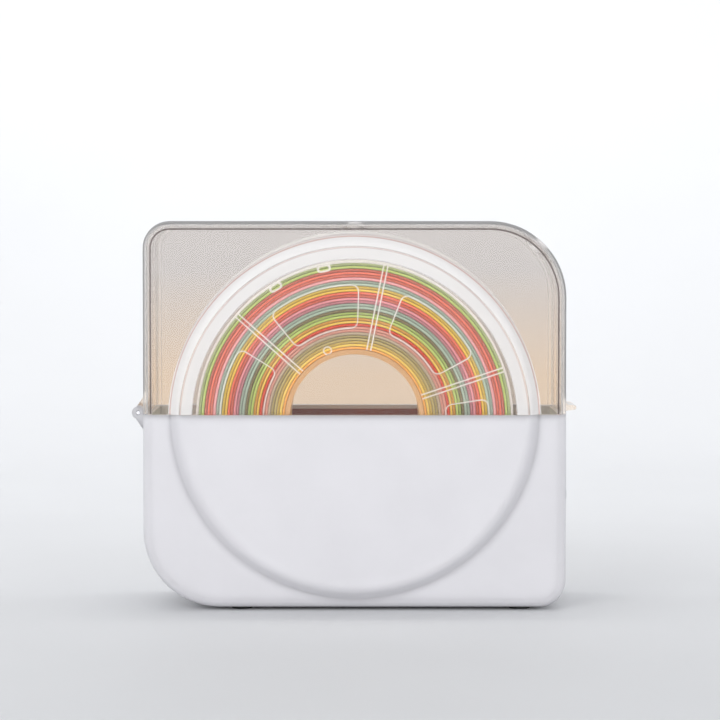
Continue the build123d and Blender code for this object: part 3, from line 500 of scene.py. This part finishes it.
def spool_finishes():
    """The clear flanges and the amber hub."""
    flange = clear_plastic(
        "flange_clear", linear(254, 254, 254), (0.98, 0.98, 0.98, 1), rough=(0.0, 0.006), ior=1.4,
        scuffs=0.03, haze=flange_haze, haze_tint=linear(255, 254, 252),
    )
    hub = plastic("hub_amber", linear(253, 218, 164), linear(254, 224, 172), rough=(0.3, 0.4))
    return [(flange, "front_flange rear_flange"), (hub, "spool_hub")]


def metal_finishes():
    """Axles and clips, screws, and the heat plate."""
    steel = metal("turned_steel", linear(150, 150, 154), linear(190, 190, 194), brush=(1, 0.03, 1))
    zinc = metal("zinc_plate", linear(140, 142, 146), linear(184, 186, 188), rough=(0.3, 0.5))
    aluminium = metal(
        "mill_aluminium", linear(186, 188, 192), linear(212, 214, 217), brush=(1, 0.04, 1), scale=900
    )
    return [
        (steel, "hinge_pin left_roller_axle right_roller_axle roller_clips"),
        (zinc, "bracket_screws tray_screws fan_screws"),
        (aluminium, "heat_plate"),
    ]


def inner_finishes():
    """Rollers, brackets, heating film, fan, feet, leads and what the air is measured with."""
    roller = plastic("roller_nylon", linear(206, 204, 198), linear(222, 220, 214), rough=(0.35, 0.5))
    bracket = plastic("bracket_grey", linear(66, 66, 70), linear(84, 84, 88), rough=(0.45, 0.6))
    film = plastic(
        "film_amber", linear(150, 88, 26), linear(188, 116, 40), rough=(0.15, 0.3), grain=500, coat=0.4
    )
    black = plastic("black_moulding", linear(22, 22, 24), linear(34, 34, 36), rough=(0.35, 0.5), grain=1200)
    rubber = plastic("black_rubber", linear(20, 20, 21), linear(32, 32, 33), rough=(0.6, 0.8), grain=1600)
    sensor = plastic("sensor_white", linear(206, 207, 208), linear(222, 223, 224), rough=(0.4, 0.5))
    return [
        (roller, "front_left_roller front_right_roller rear_left_roller rear_right_roller"),
        (bracket, "left_roller_bracket right_roller_bracket"),
        (film, "heating_film"),
        (black, "fan_frame fan_rotor power_jack"),
        (rubber, "power_lead fan_lead front_left_foot front_right_foot rear_left_foot rear_right_foot"),
        (sensor, "humidity_sensor"),
    ]


def control_finishes():
    """The control panel with its keys and its display, and the boards."""
    window = clear_plastic("display_window", linear(200, 206, 208), (0.6, 0.62, 0.63, 1))
    panel = plastic(
        "panel_gloss", linear(24, 25, 28), linear(34, 35, 38), rough=(0.08, 0.16), grain=300,
        grain_depth=0.01 * MM, coat=0.6,
    )
    key = plastic(
        "key_grey", linear(150, 152, 156), linear(172, 174, 178), rough=(0.3, 0.42),
        edge=linear(196, 197, 200),
    )
    return [
        (window, "display_window"),
        (panel, "control_panel"),
        (key, "down_key mode_key up_key"),
        (display_face(), "lcd_module"),
        (board_green(), "control_board display_board"),
    ]


def dress_cad_nodes():
    """Give each carried-over CAD node its material."""
    for finishes in (shell_finishes, spool_finishes, metal_finishes, inner_finishes, control_finishes):
        for material, nodes in finishes():
            for node in nodes.split():
                mesh = NODES[node].data
                mesh.materials.clear()
                mesh.materials.append(material)


# ---------------------------------------------------------------- wound filament
STRAND = 1.75 * MM
AROUND = 180  # points along one turn
SECTION = 8  # points round a strand
HOP_AT = 0.96  # share of a turn after which the strand climbs to the next layer
FIRST_ANGLE = math.radians(-80)  # where the winding starts on the hub
TINT_LAYER = "strand_tint"
PALETTE = {
    "moss": (186, 202, 140),
    "green": (200, 224, 122),
    "salmon": (255, 128, 100),
    "pink": (252, 178, 182),
    "teal": (190, 212, 194),
    "yellow": (255, 220, 90),
    "mauve": (248, 166, 176),
    "brown": (140, 126, 88),
    "orange": (255, 186, 74),
    "red": (246, 84, 48),
    "rose": (238, 166, 146),
    "grey": (208, 190, 160),
    "olive": (206, 188, 112),
}
# from the outermost layer inwards: a colour and how bright each of its strands is; the brightness is partly
# the strands' own tone and partly painted light and shade across each band
BANDS = (
    ("moss", 0.9), ("green", 0.98), ("salmon", 0.82), ("salmon", 1.0), ("salmon", 0.86), ("pink", 1.0),
    ("teal", 0.84), ("teal", 1.0), ("yellow", 0.86), ("yellow", 1.0), ("salmon", 1.0), ("salmon", 0.86),
    ("mauve", 1.0), ("mauve", 0.84), ("teal", 0.9), ("teal", 1.0), ("brown", 1.0), ("green", 0.9),
    ("green", 1.04), ("orange", 0.88), ("yellow", 1.0), ("red", 0.95), ("rose", 1.0), ("rose", 0.94),
    ("grey", 0.96), ("olive", 0.86), ("olive", 1.0), ("yellow", 0.84), ("yellow", 1.0), ("orange", 1.0),
)
LAYER_TINTS = [linear(*(min(255, level * part) for part in PALETTE[name])) for name, level in BANDS]
LAYERS = len(LAYER_TINTS)
CORE_SHADE = (0.25, 0.22, 0.2)  # painted shade: how much darker the core is, between the strands
OUTER_RADIUS = (WINDING_HIGH.x - WINDING_LOW.x) / 2
INNER_RADIUS = (HUB_HIGH.x - HUB_LOW.x) / 2 + 0.1 * MM
HALF_WINDING = WINDING_HIGH.y
LAYER_PITCH = (OUTER_RADIUS - INNER_RADIUS) / LAYERS


def smooth_step(value):
    value = min(max(value, 0.0), 1.0)
    return value * value * (3 - 2 * value)


def outwards(angle):
    """The direction away from the spool's axis at an angle."""
    return Vector((math.cos(angle), 0, math.sin(angle)))


def smooth_mesh(name, vertices, faces):
    mesh = bpy.data.meshes.new(name)
    mesh.from_pydata(vertices, [], faces)
    mesh.polygons.foreach_set("use_smooth", [True] * len(mesh.polygons))
    mesh.update()
    return mesh


def tint_points(mesh, tints):
    """Give each point of a mesh its own colour."""
    layer = mesh.color_attributes.new(TINT_LAYER, "FLOAT_COLOR", "POINT")
    for index, tint in enumerate(tints):
        layer.data[index].color = tint


def tube_mesh(name, path, tints):
    """A round tube, tinted by point, along points (angle, reach, depth, radius) about the spool's axis."""
    vertices = []
    for angle, reach, depth, radius in path:
        out = outwards(angle)
        centre = SPOOL_CENTRE + out * reach
        centre.y = depth
        for step in range(SECTION):
            turn = 2 * math.pi * step / SECTION
            aside = Vector((0, radius * math.sin(turn), 0))
            vertices.append(centre + out * (radius * math.cos(turn)) + aside)
    faces = []
    last = (len(path) - 1) * SECTION
    for ring in range(0, last, SECTION):
        after = ring + SECTION
        for step in range(SECTION):
            beside = (step + 1) % SECTION
            faces.append((ring + step, after + step, after + beside, ring + beside))
    faces.append(tuple(range(SECTION)))
    faces.append(tuple(range(last, last + SECTION))[::-1])
    mesh = smooth_mesh(name, vertices, faces)
    tint_points(mesh, [tint for tint in tints for _ in range(SECTION)])
    return mesh


def add_piece(name, mesh, body, slot, material, *replaced):
    """Put a mesh in the scene as a piece that rides on a body."""
    piece = bpy.data.objects.new(name, mesh)
    bpy.context.scene.collection.objects.link(piece)
    mesh.materials.clear()
    mesh.materials.append(material)
    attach(piece, body)
    if replaced:
        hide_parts(*replaced)


def end_turns(name, side, material):
    """The strand seen through one flange: a spiral that keeps to one layer for most of each turn."""
    path = []
    tints = []
    wander = [random.uniform(0, 0.16) * STRAND for _ in LAYER_TINTS]
    radii = [random.uniform(0.4, 0.48) * STRAND for _ in LAYER_TINTS]
    first = INNER_RADIUS + LAYER_PITCH / 2
    for index in range((LAYERS - 1) * AROUND + 1):
        turns = index / AROUND
        layer = int(turns)
        climb = smooth_step((turns - layer - HOP_AT) / (1 - HOP_AT))
        reach = first + (layer + climb) * LAYER_PITCH
        swell = 0.05 * STRAND * math.sin(2 * math.pi * (turns * 1.37 + 0.2 * layer))
        depth = side * (HALF_WINDING - STRAND / 2 - wander[layer] - abs(swell))
        radius = radii[layer] + (radii[min(layer + 1, LAYERS - 1)] - radii[layer]) * climb
        path.append((side * 2 * math.pi * turns + FIRST_ANGLE, reach, depth, radius))
        tints.append(LAYER_TINTS[LAYERS - 1 - layer])
    add_piece(name, tube_mesh(name, path, tints), "spool", "filament_mixed", material)


def outer_turns(material):
    """The outermost layer across the spool's width, wound as a helix."""
    name = "filament_outer_turns"
    span = 2 * HALF_WINDING - STRAND
    turns = int(span / STRAND)
    path = []
    for index in range(turns * AROUND + 1):
        turn = index / AROUND
        depth = -span / 2 + span * turn / turns
        path.append((2 * math.pi * turn, OUTER_RADIUS - STRAND / 2, depth, STRAND / 2))
    tints = [LAYER_TINTS[0]] * len(path)
    add_piece(name, tube_mesh(name, path, tints), "spool", "filament_mixed", material)


def core_outline():
    """Half of the core's section as (reach, depth, tint), from the hub out, notched at each layer."""
    depth = HALF_WINDING - 0.9 * STRAND
    outline = []
    for layer in range(LAYERS):
        for share, dip in ((0.0, 0.25), (0.5, 0.0)):
            reach = INNER_RADIUS + (layer + share) * LAYER_PITCH
            outline.append((reach, depth - dip * STRAND, LAYER_TINTS[LAYERS - 1 - layer]))
    outline = [point for point in outline if point[0] < OUTER_RADIUS - 0.75 * STRAND]
    outline.append((OUTER_RADIUS - 0.8 * STRAND, depth, LAYER_TINTS[0]))
    return outline


def filament_core(material):
    """The body of the winding between the seen turns, ribbed layer by layer on both ends."""
    outline = core_outline()
    loop = [(reach, -depth, tint) for reach, depth, tint in outline] + outline[::-1]
    size = len(loop)
    vertices = []
    faces = []
    for step in range(AROUND):
        out = outwards(2 * math.pi * step / AROUND)
        for reach, depth, _ in loop:
            point = SPOOL_CENTRE + out * reach
            point.y = depth
            vertices.append(point)
        here = step * size
        after = (step + 1) % AROUND * size
        for index in range(size):
            beside = (index + 1) % size
            faces.append((here + index, here + beside, after + beside, after + index))
    mesh = smooth_mesh("filament_core", vertices, faces)
    # painted shade between the strands: each layer's colour darkened on the core
    shades = [tuple(a * b for a, b in zip(tint, CORE_SHADE)) + (1.0,) for _, _, tint in loop]
    tint_points(mesh, shades * AROUND)
    add_piece("filament_core", mesh, "spool", "filament_mixed", material, "filament_winding")


# ---------------------------------------------------------------- display and key marks
SEGMENTS = {
    "top": ((-0.5, 1), (0.5, 1)),
    "high_left": ((-0.5, 0), (-0.5, 1)),
    "high_right": ((0.5, 0), (0.5, 1)),
    "middle": ((-0.5, 0), (0.5, 0)),
    "low_left": ((-0.5, -1), (-0.5, 0)),
    "low_right": ((0.5, -1), (0.5, 0)),
    "bottom": ((-0.5, -1), (0.5, -1)),
}
FIGURES = {
    "0": ("top", "high_left", "high_right", "low_left", "low_right", "bottom"),
    "5": ("top", "high_left", "middle", "low_right", "bottom"),
    "6": ("top", "high_left", "middle", "low_left", "low_right", "bottom"),
}
FIGURE_HEIGHT = 4.6 * MM  # of each half of a figure
FIGURE_PITCH = 7.4 * MM
PAIR_MIDDLE = 9.5 * MM  # of each pair of figures, from the middle of the display


def bar(drawing, start, end, face_x, width, depth):
    """A six-sided bar between two points (y, z) that stands out of the plane x = face_x."""
    first = Vector((face_x, *start))
    line = Vector((face_x, *end)) - first
    reach = line.length
    along = line.normalized()
    across = along.cross(Vector((1, 0, 0)))
    half = width / 2
    outline = ((0, 0), (half, half), (reach - half, half), (reach, 0), (reach - half, -half), (half, -half))
    low, high = (
        [drawing.verts.new(first + along * a + across * b + Vector((lift, 0, 0))) for a, b in outline]
        for lift in (0, depth)
    )
    drawing.faces.new(high)
    drawing.faces.new(low[::-1])
    for index in range(len(outline)):
        beside = (index + 1) % len(outline)
        drawing.faces.new((low[index], low[beside], high[beside], high[index]))


def drawn_mesh(name, bars):
    """One mesh of several bars."""
    drawing = bmesh.new()
    for values in bars:
        bar(drawing, *values)
    mesh = bpy.data.meshes.new(name)
    bmesh.ops.recalc_face_normals(drawing, faces=drawing.faces)
    drawing.to_mesh(mesh)
    drawing.free()
    return mesh


def display_figures(material):
    """Lit figures for temperature and time, on the face of the display module."""
    low, high = corners("lcd_module")
    centre = (low + high) / 2
    bars = []
    for text, middle in (("50", -PAIR_MIDDLE), ("06", PAIR_MIDDLE)):
        for place, figure in enumerate(text):
            y = centre.y + middle + (place - 0.5) * FIGURE_PITCH
            for segment in FIGURES[figure]:
                start, end = (
                    (y + a * FIGURE_HEIGHT, centre.z + b * FIGURE_HEIGHT) for a, b in SEGMENTS[segment]
                )
                bars.append((start, end, high.x, 0.9 * MM, 0.12 * MM))
    add_piece("display_figures", drawn_mesh("display_figures", bars), "base", "lcd", material)


def key_mark(key, lines, material):
    """A raised mark on the face of one key, made of short bars given in millimetres."""
    low, high = corners(key)
    centre = (low + high) / 2
    bars = []
    for line in lines:
        start, end = ((centre.y + y * MM, centre.z + z * MM) for y, z in line)
        bars.append((start, end, high.x - 0.05 * MM, 0.55 * MM, 0.2 * MM))
    name = key + "_mark"
    add_piece(name, drawn_mesh(name, bars), key, "key_grey", material)


def key_marks():
    """Minus, plus and ring."""
    ink = plastic("key_ink", linear(236, 237, 238), linear(246, 246, 246), rough=(0.4, 0.5))
    level = ((-1.6, 0), (1.6, 0))
    upward = ((0, -1.6), (0, 1.6))
    ring = [(1.5 * math.cos(math.radians(a)), 1.5 * math.sin(math.radians(a))) for a in range(0, 360, 45)]
    key_mark("down_key", [level], ink)
    key_mark("up_key", [level, upward], ink)
    key_mark("mode_key", list(zip(ring, ring[1:] + ring[:1])), ink)


# ---------------------------------------------------------------- stage, light and camera
def make_stage():
    """A pale floor that sweeps up behind the object."""
    half = 3.0
    front = -3.5
    back = 1.6
    top = 4.0
    curve = 0.7
    steps = 16
    profile = [(front, 0.0), (back - curve, 0.0)]
    for step in range(1, steps + 1):
        angle = math.pi / 2 * step / steps
        profile.append((back - curve + curve * math.sin(angle), curve - curve * math.cos(angle)))
    profile.append((back, top))
    vertices = [(x, y, z) for y, z in profile for x in (-half, half)]
    faces = [(2 * i, 2 * i + 1, 2 * i + 3, 2 * i + 2) for i in range(len(profile) - 1)]
    mesh = smooth_mesh("sweep", vertices, faces)
    floor = bpy.data.objects.new("sweep", mesh)
    bpy.context.scene.collection.objects.link(floor)
    material, tree, shader = new_material("pale_floor")
    tone = ramp(tree, noise(tree, 3.0), linear(208, 209, 211), linear(211, 212, 214))
    tree.links.new(tone, shader.inputs["Base Color"])
    shader.inputs["Roughness"].default_value = 0.6
    mesh.materials.append(material)


def area_light(name, place, aim, size, power):
    """A rectangular lamp that isn't seen through the clear parts."""
    light = bpy.data.lights.new(name, "AREA")
    light.shape = "RECTANGLE"
    light.size, light.size_y = size
    light.energy = power
    lamp = bpy.data.objects.new(name, light)
    bpy.context.scene.collection.objects.link(lamp)
    lamp.visible_transmission = False
    lamp.location = place
    lamp.rotation_euler = (Vector(aim) - Vector(place)).to_track_quat("-Z", "Y").to_euler()


def make_light():
    """Soft lamps before and beside the object, one on the backdrop, and a faint sky."""
    bpy.context.scene.view_settings.view_transform = "Standard"
    cycles = bpy.context.scene.cycles
    bounces = 28  # light has to get along the inside of the clear walls
    cycles.max_bounces = bounces
    cycles.transmission_bounces = bounces
    cycles.transparent_max_bounces = bounces
    world = bpy.data.worlds.new("studio")
    bpy.context.scene.world = world
    world.use_nodes = True
    background = world.node_tree.nodes["Background"]
    background.inputs["Color"].default_value = (0.95, 0.97, 1.0, 1)
    background.inputs["Strength"].default_value = 0.4
    area_light("key", (-1.0, -1.9, 0.9), (0, 0, 0.12), (1.2, 1.2), 21.5)
    area_light("fill", (1.2, -1.9, 0.6), (0, 0, 0.12), (1.2, 1.0), 11.5)
    area_light("left_card", (-1.4, 0.1, 0.5), (0, 0, 0.2), (1.6, 1.6), 9)
    area_light("right_card", (1.4, 0.1, 0.5), (0, 0, 0.2), (1.6, 1.6), 9)
    area_light("low_fill", (0, -1.5, 0.15), (0, 0, 0.03), (1.6, 0.25), 5.5)
    area_light("back_wash", (0.0, 0.5, 1.7), (0, 1.6, 0.9), (2.4, 0.8), 26)


VIEW_DISTANCE = 1.85
VIEW_HEIGHT = PARTING_Z + 114 * MM
FRAME_WIDTH = 0.4475  # what the picture spans at the front face
AIM_X = 3.4 * MM
AIM_Z = PARTING_Z + 30.6 * MM


def make_camera():
    """Square to the broad side, from far off and a little above the parting line."""
    data = bpy.data.cameras.new("camera")
    camera = bpy.data.objects.new("camera", data)
    bpy.context.scene.collection.objects.link(camera)
    aim = Vector((AIM_X, BASE_LOW.y, AIM_Z))
    camera.location = (AIM_X, aim.y - VIEW_DISTANCE, VIEW_HEIGHT)
    camera.rotation_euler = (aim - camera.location).to_track_quat("-Z", "Y").to_euler()
    data.sensor_width = 36
    data.lens = data.sensor_width * VIEW_DISTANCE / FRAME_WIDTH
    data.clip_end = 50
    bpy.context.scene.camera = camera


# ---------------------------------------------------------------- build
make_camera()
make_stage()
make_light()
dress_cad_nodes()
bands = filament_material()
filament_core(bands)
end_turns("filament_front_turns", -1, bands)
end_turns("filament_rear_turns", 1, bands)
outer_turns(bands)
display_figures(lit_figures())
key_marks()
